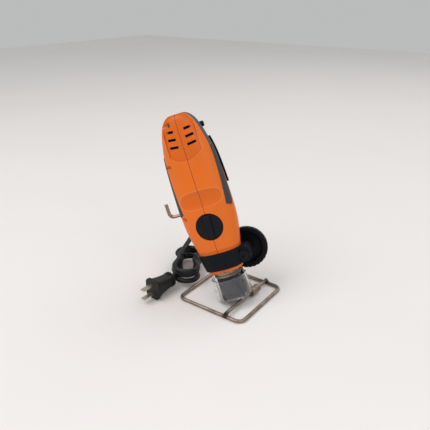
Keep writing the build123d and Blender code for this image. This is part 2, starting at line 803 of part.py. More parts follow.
def cord_route():
    """The lead's route: out of the gland, over and down behind the barrel, into the hank."""
    return [
        exit_point,
        exit_point + exit_way * 24.0,
        Vector(-156.0, 77.0, 177.0),
        Vector(-161.0, 87.0, 147.0),
        Vector(-161.5, 89.0, 104.0),
        Vector(-162.0, 88.5, 70.0),
        Vector(-162.5, 86.0, 46.0),
        Vector(-161.0, 75.0, 33.0),
        Vector(-155.5, 58.5, 27.5),
        Vector(-150.0, 45.0, 26.0),
    ]


def tube_along(points, name):
    """A round tube along straight runs joined by arcs as large as the runs allow."""
    radii = []
    for a, b, c in zip(points, points[1:], points[2:]):
        turn = math.radians((b - a).get_angle(c - b))
        run = min((b - a).length, (c - b).length)
        radii.append(0.45 * run / math.tan(turn / 2))
    path = FilletPolyline(*points, radius=radii)
    start = Plane(origin=points[0], z_dir=points[1] - points[0])
    solid = sweep(start * Circle(cord_radius), path)
    print(name, "arc radii", [round(r, 1) for r in radii], "length", round(path.length, 1),
          "volume share", round(solid.volume / (math.pi * cord_radius ** 2 * path.length), 4))
    return solid


def cord_hank():
    """The outer shape of the folded, tied cord."""
    with BuildSketch() as shape:
        Ellipse(hank_half, hank_side)
    body = extrude(shape.sketch, amount=hank_height)
    body = fillet(body.edges(), 4.0)
    return Pos(hank_centre) * Rot(0, 0, hank_turn) * body


plug_rear = Vector(-119.5, -37.5, 13.6)
plug_way = Vector(-0.06, -1.0, 0.0).normalized()
plug_length = 30.0
flange_half = 13.4
blade_length = 17.0
blade_spacing = 12.7


def plug_plane(distance):
    """Section plane of the plug; its local Y is up, so its two blades stand one over the other."""
    return Plane(origin=plug_rear + plug_way * distance, x_dir=plug_way.cross(Vector(0, 0, 1)), z_dir=plug_way)


def plug_body():
    """Moulded plug: a waisted grip, an end flange and a stepped strain relief."""
    grip = loft([
        plug_plane(0) * RectangleRounded(16.5, 16.5, 5.0),
        plug_plane(plug_length * 0.45) * RectangleRounded(17.5, 18.5, 5.0),
        plug_plane(plug_length - 3.0) * RectangleRounded(21.0, 24.0, 6.0),
    ])
    flange = extrude(plug_plane(plug_length - 3.0) * RectangleRounded(23.0, 2 * flange_half, 6.5), amount=3.0)
    collar_ring = extrude(plug_plane(-2.6) * Circle(10.2), amount=2.8)
    sleeve = loft([plug_plane(-9.0) * Circle(4.3), plug_plane(-2.9) * Circle(5.8)])
    whole = grip + flange + collar_ring + sleeve
    for side in (-1, 1):
        for n in (-1, 0, 1):
            rail = plug_plane(3.0) * Pos(side * 11.2, 5.4 * n) * Rectangle(3.6, 1.7)
            tall = plug_plane(3.0) * Pos(5.0 * n, side * 12.4) * Rectangle(1.7, 3.6)
            whole = whole - extrude(rail, amount=plug_length * 0.62) - extrude(tall, amount=plug_length * 0.62)
    return whole


def plug_blades():
    blades = []
    for side in (-1, 1):
        plane = plug_plane(plug_length)
        face = plane * Pos(0, side * blade_spacing / 2) * Rectangle(6.3, 1.5)
        blade = extrude(face, amount=blade_length)
        hole = plug_plane(plug_length + blade_length - 4.0)
        centre = hole.origin + Vector(0, 0, side * blade_spacing / 2)
        punch = Plane(origin=centre - Vector(0, 0, 3), z_dir=(0, 0, 1)) * Circle(1.6)
        blades.append(blade - extrude(punch, amount=6))
    return Compound(blades)


def cord_tail():
    """Last bit of cord, from the hank to the plug's sleeve."""
    start = plug_rear - plug_way * 9.0
    middle = start - plug_way * 5.0
    points = [start, middle, middle - plug_way * 5.0 + Vector(0.3, 0, -0.8)]
    return tube_along(points, "cord_tail")


def halves(body):
    left = body & block(-80, 0, -80, 80, -20, 300)
    right = body & block(0, 80, -80, 80, -20, 300)
    return left, right


def build():
    shell = housing()
    sleeve = key_clip() - cylinder_x(key_radius + fit, -80, 0, key_y, key_z)
    shell = shell - cylinder_x(key_radius + fit, -80, 0, key_y, key_z)
    left, right = halves(shell)
    left = left + sleeve
    holders, brushes, springs = brush_gear()
    tool = {
        "housing_left": left,
        "housing_right": right,
        "rear_cap": rear_cap(),
        "side_inlay_left": inlay(-1) - cylinder_x(key_radius + fit, -80, 0, key_y, key_z),
        "side_inlay_right": inlay(1),
        "housing_screws": housing_screws(),
        "collar": collar(),
        "collar_screw": collar_screw(),
        "side_knob": side_knob(),
        "knob_bolt": knob_bolt(),
        "head_block": head_block(),
        "head_screws": head_screws(),
        "bite_comb": bite_comb(),
        "chip_guard": chip_guard(),
        "plunger": plunger(),
        "blade_clamp": blade_clamp(),
        "clamp_screw": clamp_screw(),
        "yoke": yoke(),
        "plunger_bush_lower": bush(20.0, 32.0),
        "plunger_bush_upper": bush(upper_bush_low, upper_bush_high),
        "drive_gear": drive_gear(),
        "gear_axle": gear_axle(),
        "bearing_bridge": bridge(),
        "front_bearing": bearing(bridge_low, bridge_high),
        "rear_bearing": bearing(rear_bearing_low, rear_bearing_high),
        "armature_shaft": armature_shaft(),
        "armature_core": armature_core(),
        "commutator": commutator(),
        "fan": fan(),
        "stator": stator(),
        "field_coils": field_coils(),
        "brush_holders": holders,
        "brushes": brushes,
        "brush_springs": springs,
        "speed_dial": speed_dial(),
        "dial_module": dial_module(),
        "paddle_switch": paddle(),
        "paddle_pin": paddle_pin(),
        "switch_module": switch_module(),
        "lock_button": lock_button(),
        "hex_key": hex_key(),
        "cord_gland": gland(),
    }
    nodes = {name: tool_place * solid for name, solid in tool.items()}
    nodes["hanger_bracket"] = hanger_place * hanger()
    nodes["shoe_loop"] = shoe_loop()
    nodes["shoe_crossbar"] = shoe_bar()
    nodes["cord_lead"] = tube_along(cord_route(), "cord_lead")
    nodes["cord_hank"] = cord_hank()
    nodes["cord_tail"] = cord_tail()
    nodes["plug_body"] = plug_body()
    nodes["plug_blades"] = plug_blades()
    return nodes


if __name__ == "__main__":
    os.makedirs("parts", exist_ok=True)
    for name, solid in build().items():
        export_step(solid, "parts/" + name + ".step")
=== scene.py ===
"""Barrel-grip jigsaw on its wire shoe, with its tied lead and plug."""
import math
import random

import bpy
from mathutils import Matrix, Vector


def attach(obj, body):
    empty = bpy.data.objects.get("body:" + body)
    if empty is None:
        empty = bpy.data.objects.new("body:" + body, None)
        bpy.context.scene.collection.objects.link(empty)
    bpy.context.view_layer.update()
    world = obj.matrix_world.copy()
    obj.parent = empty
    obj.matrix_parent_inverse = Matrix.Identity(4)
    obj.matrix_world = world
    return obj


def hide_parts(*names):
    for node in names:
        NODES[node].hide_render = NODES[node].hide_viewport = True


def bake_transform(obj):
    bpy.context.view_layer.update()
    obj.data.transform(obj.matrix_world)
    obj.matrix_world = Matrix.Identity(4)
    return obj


bl_info = {
    "name": "Wire-shoe Jigsaw",
    "version": (1, 0, 0),
    "blender": (4, 5, 0),
    "location": "View3D > Sidebar > Jigsaw",
    "description": "Finishes, cord, plug and stage for a barrel-grip jigsaw",
    "category": "Object",
}

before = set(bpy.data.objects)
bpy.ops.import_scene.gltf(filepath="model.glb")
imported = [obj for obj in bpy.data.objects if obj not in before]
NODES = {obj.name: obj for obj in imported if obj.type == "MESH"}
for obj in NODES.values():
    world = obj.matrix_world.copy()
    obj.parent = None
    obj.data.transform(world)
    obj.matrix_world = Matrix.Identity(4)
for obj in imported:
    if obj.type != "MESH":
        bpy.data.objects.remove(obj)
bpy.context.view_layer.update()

MM = 0.001
LEAN = math.radians(22.2)
SWIVEL = math.radians(28.0)
TOOL_ORIGIN = Vector((-31.259, -9.1, 2.172)) * MM
TOOL_TURN = Matrix.Rotation(-LEAN, 4, "Y") @ Matrix.Rotation(SWIVEL, 4, "Z")
TOOL = Matrix.Translation(TOOL_ORIGIN) @ TOOL_TURN


def tool_point(x, y, z):
    """A point given in the tool's own frame, in millimetres, as row metres."""
    return TOOL @ (Vector((x, y, z)) * MM)


# The thumb dip and the vent field of the front face, in metres in the tool's frame: where shade and a rim
# highlight are painted on the shell.
DIP_HEIGHT = 0.1385
DIP_TUBE = 0.026
DIP_RING = 0.148
DIP_AXIS = 0.1058
FIELD_HEIGHT = 0.2127
FIELD_RADIUS = 0.0267
FIELD_HALF = 0.020
FIELD_LOW = 0.1855
DIP_EDGE = 0.0002
DIP_RIM = 0.00045
DIP_RIM_HALF = 0.00025
FRONT_FROM = -0.008
SEAM_HALF = 0.00035


# ---------------------------------------------------------------- settings

class JigsawSettings(bpy.types.PropertyGroup):
    """Sizes and colours that a user would change."""
    shell_colour: bpy.props.FloatVectorProperty(
        name="Shell", description="Colour of the moulded housing", subtype="COLOR",
        size=3, min=0, max=1, default=(0.82, 0.160, 0.006))
    cap_colour: bpy.props.FloatVectorProperty(
        name="Cap", description="Colour of the rear cap", subtype="COLOR",
        size=3, min=0, max=1, default=(0.055, 0.060, 0.066))
    trim_colour: bpy.props.FloatVectorProperty(
        name="Trim", description="Colour of the black mouldings", subtype="COLOR",
        size=3, min=0, max=1, default=(0.0045, 0.0055, 0.009))
    nose_colour: bpy.props.FloatVectorProperty(
        name="Nose", description="Colour of the gear nose casting", subtype="COLOR",
        size=3, min=0, max=1, default=(0.020, 0.024, 0.036))
    wire_colour: bpy.props.FloatVectorProperty(
        name="Wire", description="Colour of the bare steel rod", subtype="COLOR",
        size=3, min=0, max=1, default=(0.34, 0.260, 0.208))
    cord_diameter: bpy.props.FloatProperty(
        name="Lead diameter", description="Outside diameter of the mains lead",
        subtype="DISTANCE", unit="LENGTH", default=0.0068, min=0.004, max=0.012)
    hank_turns: bpy.props.IntProperty(
        name="Hank turns", description="Turns of the lead in its hank", default=3, min=1, max=6)
    grain_depth: bpy.props.FloatProperty(
        name="Grain depth", description="Depth of the moulded grain",
        subtype="DISTANCE", unit="LENGTH", default=0.00006, min=0.0, max=0.0005, precision=5)
    floor_colour: bpy.props.FloatVectorProperty(
        name="Floor", description="Colour of the table", subtype="COLOR",
        size=3, min=0, max=1, default=(0.88, 0.845, 0.825))


def settings():
    return bpy.context.scene.jigsaw


# ---------------------------------------------------------------- node groups

def new_group(name, inputs, outputs):
    """An empty shader group with named sockets: (name, socket kind, default)."""
    group = bpy.data.node_groups.new(name, "ShaderNodeTree")
    for label, kind, default in inputs:
        socket = group.interface.new_socket(name=label, in_out="INPUT", socket_type=kind)
        socket.default_value = default
    for label, kind in outputs:
        group.interface.new_socket(name=label, in_out="OUTPUT", socket_type=kind)
    source = group.nodes.new("NodeGroupInput")
    sink = group.nodes.new("NodeGroupOutput")
    return group, source, sink


def math_node(tree, operation, first, second=None, clamp=False):
    made = tree.nodes.new("ShaderNodeMath")
    made.operation = operation
    made.use_clamp = clamp
    for socket, value in zip(made.inputs, (first, second)):
        if value is None:
            continue
        if isinstance(value, (int, float)):
            socket.default_value = value
        else:
            tree.links.new(value, socket)
    return made.outputs[0]


def ramp(tree, value, low, high):
    """0 below low and 1 above high."""
    made = tree.nodes.new("ShaderNodeMapRange")
    made.interpolation_type = "SMOOTHSTEP"
    made.inputs["From Min"].default_value = low
    made.inputs["From Max"].default_value = high
    tree.links.new(value, made.inputs["Value"])
    return made.outputs["Result"]


def noise(tree, vector, scale, detail=3.0, rough=0.55):
    made = tree.nodes.new("ShaderNodeTexNoise")
    made.inputs["Detail"].default_value = detail
    made.inputs["Roughness"].default_value = rough
    if isinstance(scale, (int, float)):
        made.inputs["Scale"].default_value = scale
    else:
        tree.links.new(scale, made.inputs["Scale"])
    tree.links.new(vector, made.inputs["Vector"])
    return made.outputs["Fac"]


def mix_colour(tree, share, first, second):
    made = tree.nodes.new("ShaderNodeMix")
    made.data_type = "RGBA"
    sockets = [s for s in made.inputs if s.type == "RGBA"]
    for socket, value in zip(sockets, (first, second)):
        if isinstance(value, (tuple, list)):
            socket.default_value = value
        else:
            tree.links.new(value, socket)
    if isinstance(share, (int, float)):
        made.inputs["Factor"].default_value = share
    else:
        tree.links.new(share, made.inputs["Factor"])
    return [s for s in made.outputs if s.type == "RGBA"][0]


def dot_product(tree, place, way):
    dot = tree.nodes.new("ShaderNodeVectorMath")
    dot.operation = "DOT_PRODUCT"
    tree.links.new(place, dot.inputs[0])
    dot.inputs[1].default_value = way
    return dot.outputs["Value"]


def tool_axis(tree, place, axis):
    """How far a place lies along one of the tool's own axes, from the tool's origin, in metres."""
    way = (TOOL_TURN @ Vector(axis)).normalized()
    return math_node(tree, "SUBTRACT", dot_product(tree, place, way), way.dot(TOOL_ORIGIN))


def length_of(tree, first, second):
    """The length of a flat arrow, given its two parts."""
    total = math_node(tree, "ADD", math_node(tree, "POWER", math_node(tree, "ABSOLUTE", first), 2.0),
                      math_node(tree, "POWER", math_node(tree, "ABSOLUTE", second), 2.0))
    return math_node(tree, "SQRT", total)


def grain_group():
    """Spark-eroded mould grain: fine pits over a soft unevenness."""
    group, source, sink = new_group(
        "Mould Grain",
        [("Scale", "NodeSocketFloat", 1400.0), ("Pits", "NodeSocketFloat", 0.5)],
        [("Height", "NodeSocketFloat"), ("Mask", "NodeSocketFloat")])
    place = group.nodes.new("ShaderNodeTexCoord").outputs["Object"]
    fine = noise(group, place, source.outputs["Scale"], 4.0, 0.6)
    cells = group.nodes.new("ShaderNodeTexVoronoi")
    group.links.new(place, cells.inputs["Vector"])
    group.links.new(source.outputs["Scale"], cells.inputs["Scale"])
    pits = math_node(group, "MULTIPLY", ramp(group, cells.outputs["Distance"], 0.0, 0.6),
                     source.outputs["Pits"])
    soft = noise(group, place, 45.0, 2.0)
    total = math_node(group, "ADD", fine, pits)
    total = math_node(group, "ADD", total, math_node(group, "MULTIPLY", soft, 0.6))
    group.links.new(total, sink.inputs["Height"])
    group.links.new(ramp(group, fine, 0.35, 0.7), sink.inputs["Mask"])
    return group


def wear_group():
    """Handling marks: soft dull patches, and short fine scratches inside them."""
    group, source, sink = new_group(
        "Handling Wear",
        [("Patch Scale", "NodeSocketFloat", 28.0), ("Scratch Scale", "NodeSocketFloat", 240.0),
         ("Amount", "NodeSocketFloat", 0.5)],
        [("Patches", "NodeSocketFloat"), ("Scratches", "NodeSocketFloat")])
    place = group.nodes.new("ShaderNodeTexCoord").outputs["Object"]
    patches = ramp(group, noise(group, place, source.outputs["Patch Scale"], 5.0, 0.65), 0.42, 0.68)
    turned = group.nodes.new("ShaderNodeMapping")
    turned.inputs["Rotation"].default_value = (0.4, 0.9, 0.3)
    turned.inputs["Scale"].default_value = (1.0, 9.0, 1.6)
    group.links.new(place, turned.inputs["Vector"])
    lines = noise(group, turned.outputs["Vector"], source.outputs["Scratch Scale"], 2.0, 0.5)
    lines = ramp(group, lines, 0.66, 0.72)
    lines = math_node(group, "MULTIPLY", lines, patches)
    group.links.new(math_node(group, "MULTIPLY", patches, source.outputs["Amount"]),
                    sink.inputs["Patches"])
    group.links.new(math_node(group, "MULTIPLY", lines, source.outputs["Amount"]),
                    sink.inputs["Scratches"])
    return group


def dust_group():
    """Dust that lies on what faces up."""
    group, source, sink = new_group(
        "Settled Dust", [("Amount", "NodeSocketFloat", 0.3)], [("Mask", "NodeSocketFloat")])
    place = group.nodes.new("ShaderNodeTexCoord")
    face = group.nodes.new("ShaderNodeSeparateXYZ")
    group.links.new(place.outputs["Normal"], face.inputs["Vector"])
    upward = ramp(group, face.outputs["Z"], 0.25, 0.95)
    specks = ramp(group, noise(group, place.outputs["Object"], 620.0, 5.0, 0.7), 0.5, 0.72)
    film = noise(group, place.outputs["Object"], 35.0, 3.0)
    mask = math_node(group, "MULTIPLY", math_node(group, "ADD", specks, film), upward)
    mask = math_node(group, "MULTIPLY", mask, source.outputs["Amount"], clamp=True)
    group.links.new(mask, sink.inputs["Mask"])
    return group


def draw_group():
    """Lines left along a drawn or ground bar, with blotches of stain."""
    group, source, sink = new_group(
        "Drawn Metal",
        [("Direction Scale", "NodeSocketVector", (900.0, 40.0, 900.0)),
         ("Blotch Scale", "NodeSocketFloat", 60.0)],
        [("Lines", "NodeSocketFloat"), ("Stain", "NodeSocketFloat"), ("Height", "NodeSocketFloat")])
    place = group.nodes.new("ShaderNodeTexCoord").outputs["Object"]
    stretched = group.nodes.new("ShaderNodeVectorMath")
    stretched.operation = "MULTIPLY"
    group.links.new(place, stretched.inputs[0])
    group.links.new(source.outputs["Direction Scale"], stretched.inputs[1])
    lines = noise(group, stretched.outputs["Vector"], 1.0, 4.0, 0.6)
    blotches = noise(group, place, source.outputs["Blotch Scale"], 6.0, 0.65)
    group.links.new(lines, sink.inputs["Lines"])
    group.links.new(ramp(group, blotches, 0.45, 0.66), sink.inputs["Stain"])
    group.links.new(math_node(group, "ADD", lines, math_node(group, "MULTIPLY", blotches, 0.5)),
                    sink.inputs["Height"])
    return group


def seam_group():
    """The parting line of the shell, which lies in the tool's middle plane."""
    group, source, sink = new_group(
        "Parting Line", [("Half Width", "NodeSocketFloat", 0.0003)], [("Mask", "NodeSocketFloat")])
    place = group.nodes.new("ShaderNodeTexCoord").outputs["Object"]
    distance = math_node(group, "ABSOLUTE", tool_axis(group, place, (1, 0, 0)))
    near = math_node(group, "LESS_THAN", distance, source.outputs["Half Width"])
    group.links.new(near, sink.inputs["Mask"])
    return group


def relief_group():
    """Masks for painted light on the front face: painted shade over its sunk places (the thumb dip's ring
    tube, and the field round the vents), and a painted highlight along their rims.
    """
    group, source, sink = new_group(
        "Face Relief Painted Light", [("Rim Width", "NodeSocketFloat", 0.0007)],
        [("Painted Sunk Shade", "NodeSocketFloat"), ("Painted Rim Highlight", "NodeSocketFloat")])
    place = group.nodes.new("ShaderNodeTexCoord").outputs["Object"]
    across, out, up = [tool_axis(group, place, axis) for axis in ((1, 0, 0), (0, 1, 0), (0, 0, 1))]
    from_axis = length_of(group, across, math_node(group, "SUBTRACT", out, DIP_AXIS))
    ring = math_node(group, "SUBTRACT", from_axis, DIP_RING)
    tube = length_of(group, ring, math_node(group, "SUBTRACT", up, DIP_HEIGHT))
    beyond_dip = math_node(group, "SUBTRACT", tube, DIP_TUBE)
    from_middle = length_of(group, across, math_node(group, "SUBTRACT", up, FIELD_HEIGHT))
    bowl = math_node(group, "SUBTRACT", from_middle, FIELD_RADIUS)
    straight = math_node(group, "GREATER_THAN", up, FIELD_HEIGHT)
    beyond_field = math_node(group, "SUBTRACT", bowl, straight)
    beyond_side = math_node(group, "SUBTRACT", math_node(group, "ABSOLUTE", across), FIELD_HALF)
    above = math_node(group, "GREATER_THAN", up, FIELD_LOW)
    beyond_field = math_node(group, "MAXIMUM", beyond_field, beyond_side)
    in_dip = math_node(group, "LESS_THAN", beyond_dip, DIP_EDGE)
    in_field = math_node(group, "MULTIPLY", math_node(group, "LESS_THAN", beyond_field, 0.0), above)
    off_rim = math_node(group, "ABSOLUTE", math_node(group, "SUBTRACT", beyond_dip, DIP_RIM))
    near_dip = math_node(group, "LESS_THAN", off_rim, DIP_RIM_HALF)
    off_edge = math_node(group, "ABSOLUTE", beyond_field)
    near_field = math_node(group, "LESS_THAN", off_edge, source.outputs["Rim Width"])
    near_field = math_node(group, "MULTIPLY", near_field, above)
    front = math_node(group, "LESS_THAN", out, FRONT_FROM)
    # where the painted shade goes: inside the dip and the vent field, on the front only
    sunk = math_node(group, "MULTIPLY", math_node(group, "MAXIMUM", in_dip, in_field), front)
    # where the painted highlight goes: a thin line along their rims, on the front only
    rim = math_node(group, "MULTIPLY", math_node(group, "MAXIMUM", near_dip, near_field), front)
    group.links.new(sunk, sink.inputs["Painted Sunk Shade"])
    group.links.new(rim, sink.inputs["Painted Rim Highlight"])
    return group


def spot_group():
    """Scorched patches near two welds."""
    group, source, sink = new_group(
        "Weld Scorch",
        [("First", "NodeSocketVector", (0, 0, 0)), ("Second", "NodeSocketVector", (0, 0, 0)),
         ("Reach", "NodeSocketFloat", 0.012)],
        [("Mask", "NodeSocketFloat")])
    place = group.nodes.new("ShaderNodeTexCoord").outputs["Object"]
    nearest = None
    for name in ("First", "Second"):
        away = group.nodes.new("ShaderNodeVectorMath")
        away.operation = "DISTANCE"
        group.links.new(place, away.inputs[0])
        group.links.new(source.outputs[name], away.inputs[1])
        value = away.outputs["Value"]
        nearest = value if nearest is None else math_node(group, "MINIMUM", nearest, value)
    rough_edge = math_node(group, "MULTIPLY", noise(group, place, 260.0, 4.0), 0.006)
    share = math_node(group, "DIVIDE", math_node(group, "ADD", nearest, rough_edge),
                      source.outputs["Reach"])
    group.links.new(math_node(group, "SUBTRACT", 1.0, ramp(group, share, 0.35, 1.0)),
                    sink.inputs["Mask"])
    return group


GROUPS = {}


def use_group(tree, name, **values):
    made = tree.nodes.new("ShaderNodeGroup")
    made.node_tree = GROUPS[name]
    for key, value in values.items():
        made.inputs[key.replace("_", " ")].default_value = value
    return made.outputs


# ---------------------------------------------------------------- materials

MATERIALS = {}


def start_material(name, **constants):
    material = bpy.data.materials.new(name)
    material.use_nodes = True
    tree = material.node_tree
    shader = tree.nodes["Principled BSDF"]
    for key, value in constants.items():
        shader.inputs[key.replace("_", " ")].default_value = value
    MATERIALS[name] = material
    return tree, shader


def bump(tree, shader, height, distance, strength=1.0):
    made = tree.nodes.new("ShaderNodeBump")
    made.inputs["Distance"].default_value = distance
    made.inputs["Strength"].default_value = strength
    tree.links.new(height, made.inputs["Height"])
    tree.links.new(made.outputs["Normal"], shader.inputs["Normal"])


def rgba(colour, factor=1.0):
    return tuple(min(c * factor, 1.0) for c in colour[:3]) + (1.0,)


def moulded(name, colour, rough, grain=1400.0, pits=0.4, wear=0.4, dust=0.15, seam_and_relief_paint=False, depth=None,
            coat=0.0, gloss=0.45):
    """A moulded plastic with grain, handling marks and a little dust; with the seam flag, also its parting
    line, painted shade in the front face's sunk places and a painted highlight along their rims.
    """
    tree, shader = start_material(name, Specular_IOR_Level=gloss, Coat_Weight=coat, Coat_Roughness=0.25)
    skin = use_group(tree, "Mould Grain", Scale=grain, Pits=pits)
    marks = use_group(tree, "Handling Wear", Amount=wear)
    settled = use_group(tree, "Settled Dust", Amount=dust)
    place = tree.nodes.new("ShaderNodeTexCoord").outputs["Object"]
    cloud = noise(tree, place, 22.0, 3.0)
    base = mix_colour(tree, cloud, rgba(colour, 0.90), rgba(colour, 1.08))
    base = mix_colour(tree, marks["Patches"], base, rgba([c * 0.92 + 0.002 for c in colour]))
    base = mix_colour(tree, marks["Scratches"], base, rgba([c * 0.8 + 0.02 for c in colour]))
    if seam_and_relief_paint:
        # the parting line, and the painted shade and highlight of the front face's dip and vent field
        line = use_group(tree, "Parting Line", Half_Width=SEAM_HALF)
        relief_painted_light = use_group(tree, "Face Relief Painted Light")
        # painted shade: the dip and the vent field are darkened and browned, standing in for the shade in
        # these recesses
        base = mix_colour(tree, math_node(tree, "MULTIPLY", relief_painted_light["Painted Sunk Shade"], 0.75), base,
                          rgba([colour[0] * 0.86, colour[1] * 0.78, colour[2] * 0.4]))
        # painted highlight: a paler, less saturated line along their rims, standing in for light catching
        # the edges
        base = mix_colour(tree, math_node(tree, "MULTIPLY", relief_painted_light["Painted Rim Highlight"], 0.30), base,
                          rgba([colour[0], colour[1] * 1.9, colour[2] * 14]))
        base = mix_colour(tree, line["Mask"], base, (0.30, 0.03, 0.02, 1.0))
    base = mix_colour(tree, settled["Mask"], base, (0.45, 0.42, 0.38, 1.0))
    tree.links.new(base, shader.inputs["Base Color"])
    uneven = math_node(tree, "MULTIPLY", skin["Mask"], 0.12)
    total = math_node(tree, "ADD", uneven, rough)
    total = math_node(tree, "ADD", total, math_node(tree, "MULTIPLY", marks["Patches"], 0.14))
    total = math_node(tree, "ADD", total, math_node(tree, "MULTIPLY", settled["Mask"], 0.3), clamp=True)
    tree.links.new(total, shader.inputs["Roughness"])
    bump(tree, shader, skin["Height"], settings().grain_depth if depth is None else depth, 0.55)


def metal(name, colour, rough, stretch=(900.0, 40.0, 900.0), stain=0.3, stain_colour=(0.09, 0.06, 0.045),
          depth=0.00003, scorch=None, blotch=60.0):
    """A bare metal with drawn or ground lines and stain."""
    tree, shader = start_material(name, Metallic=1.0)
    made = use_group(tree, "Drawn Metal", Direction_Scale=stretch, Blotch_Scale=blotch)
    marks = use_group(tree, "Handling Wear", Patch_Scale=90.0, Scratch_Scale=700.0, Amount=0.6)
    base = mix_colour(tree, made["Lines"], rgba(colour, 0.78), rgba(colour, 1.15))
    dull = math_node(tree, "MULTIPLY", made["Stain"], stain)
    base = mix_colour(tree, dull, base, rgba(stain_colour))
    base = mix_colour(tree, marks["Scratches"], base, rgba(colour, 1.4))
    total = math_node(tree, "ADD", math_node(tree, "MULTIPLY", made["Lines"], 0.16), rough)
    total = math_node(tree, "ADD", total, math_node(tree, "MULTIPLY", dull, 0.5), clamp=True)
    if scorch:
        burnt = use_group(tree, "Weld Scorch", First=scorch[0], Second=scorch[1], Reach=0.011)
        base = mix_colour(tree, burnt["Mask"], base, (0.035, 0.022, 0.016, 1.0))
        total = math_node(tree, "ADD", total, math_node(tree, "MULTIPLY", burnt["Mask"], 0.3), clamp=True)
    tree.links.new(base, shader.inputs["Base Color"])
    tree.links.new(total, shader.inputs["Roughness"])
    bump(tree, shader, made["Height"], depth, 0.5)


def banded(name, colour, dark, rough, metallic, scale, axis, depth):
    """Fine bands square to a direction: stacked sheet, windings or bars."""
    tree, shader = start_material(name, Metallic=metallic)
    place = tree.nodes.new("ShaderNodeTexCoord").outputs["Object"]
    along = dot_product(tree, place, axis)
    wave = math_node(tree, "SINE", math_node(tree, "MULTIPLY", along, scale))
    share = ramp(tree, wave, -0.4, 0.9)
    cloud = noise(tree, place, 300.0, 3.0)
    base = mix_colour(tree, share, rgba(dark), rgba(colour))
    base = mix_colour(tree, math_node(tree, "MULTIPLY", cloud, 0.3), base, rgba(dark, 0.7))
    tree.links.new(base, shader.inputs["Base Color"])
    tree.links.new(math_node(tree, "ADD", math_node(tree, "MULTIPLY", cloud, 0.25), rough),
                   shader.inputs["Roughness"])
    bump(tree, shader, share, depth, 0.8)


def clear_moulding():
    tree, shader = start_material("clear guard", Transmission_Weight=0.985, IOR=1.49,
                                  Specular_IOR_Level=0.3)
    marks = use_group(tree, "Handling Wear", Patch_Scale=60.0, Scratch_Scale=500.0, Amount=0.8)
    skin = use_group(tree, "Mould Grain", Scale=260.0, Pits=0.1)
    base = mix_colour(tree, marks["Scratches"], (0.93, 0.94, 0.95, 1.0), (0.8, 0.8, 0.8, 1.0))
    tree.links.new(base, shader.inputs["Base Color"])
    tree.links.new(math_node(tree, "ADD", math_node(tree, "MULTIPLY", marks["Patches"], 0.2), 0.06),
                   shader.inputs["Roughness"])
    bump(tree, shader, skin["Height"], 0.00004, 0.4)


WELDS = ((-0.022, -0.0478, 0.0046), (-0.022, 0.0478, 0.0046))

FINISH = {
    "shell orange": ("housing_left", "housing_right"),
    "cap grey": ("rear_cap",),
    "inlay grey": ("side_inlay_left", "side_inlay_right"),
    "trim black": ("collar", "lock_button", "paddle_switch", "fan", "switch_module"),
    "knob black": ("side_knob",),
    "dial black": ("speed_dial",),
    "nose casting": ("head_block", "bearing_bridge"),
    "clear guard": ("chip_guard",),
    "turned steel": ("plunger", "blade_clamp", "yoke", "gear_axle", "front_bearing", "rear_bearing",
                     "armature_shaft", "paddle_pin", "brush_springs", "bite_comb"),
    "black steel": ("head_screws", "housing_screws", "clamp_screw", "drive_gear"),
    "black oxide": ("collar_screw", "knob_bolt"),
    "sheet stack": ("armature_core", "stator"),
    "copper winding": ("field_coils",),
    "commutator copper": ("commutator",),
    "brass": ("brush_holders", "plug_blades"),
    "sintered bronze": ("plunger_bush_lower", "plunger_bush_upper"),
    "carbon": ("brushes",),
    "potted board": ("dial_module",),
    "key steel": ("hex_key",),
    "bracket steel": ("hanger_bracket",),
    "rod steel": ("shoe_loop", "shoe_crossbar"),
    "cord rubber": ("cord_gland", "cord_lead", "cord_hank", "cord_tail"),
    "plug rubber": ("plug_body",),
}


